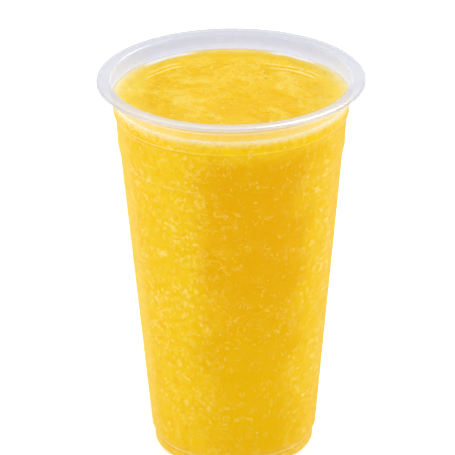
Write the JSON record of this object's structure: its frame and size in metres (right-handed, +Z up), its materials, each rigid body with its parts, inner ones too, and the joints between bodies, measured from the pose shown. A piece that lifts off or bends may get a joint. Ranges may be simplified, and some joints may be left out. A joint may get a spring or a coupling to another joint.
{
  "type": "cup of orange juice",
  "caption": "Clear plastic take-away cup with a flat sealing rim and stacking shoulders, filled with pulpy orange juice almost to the brim.",
  "frame": {"origin": "middle of the base, on the surface the cup stands on", "axes": "+Z up along the axis that cup and juice are turned about; +X to the right and +Y away for someone facing the cup"},
  "size_m": [0.095, 0.095, 0.142],
  "materials": {
    "cup_plastic": "thin clear plastic with a faint cool haze, glossy",
    "juice": "opaque yellow-orange liquid, wet surface, fine pulp and small bubbles"
  },
  "bodies": {
    "root": {"cup": "cup_plastic", "juice": "juice"}
  },
  "joints": []
}
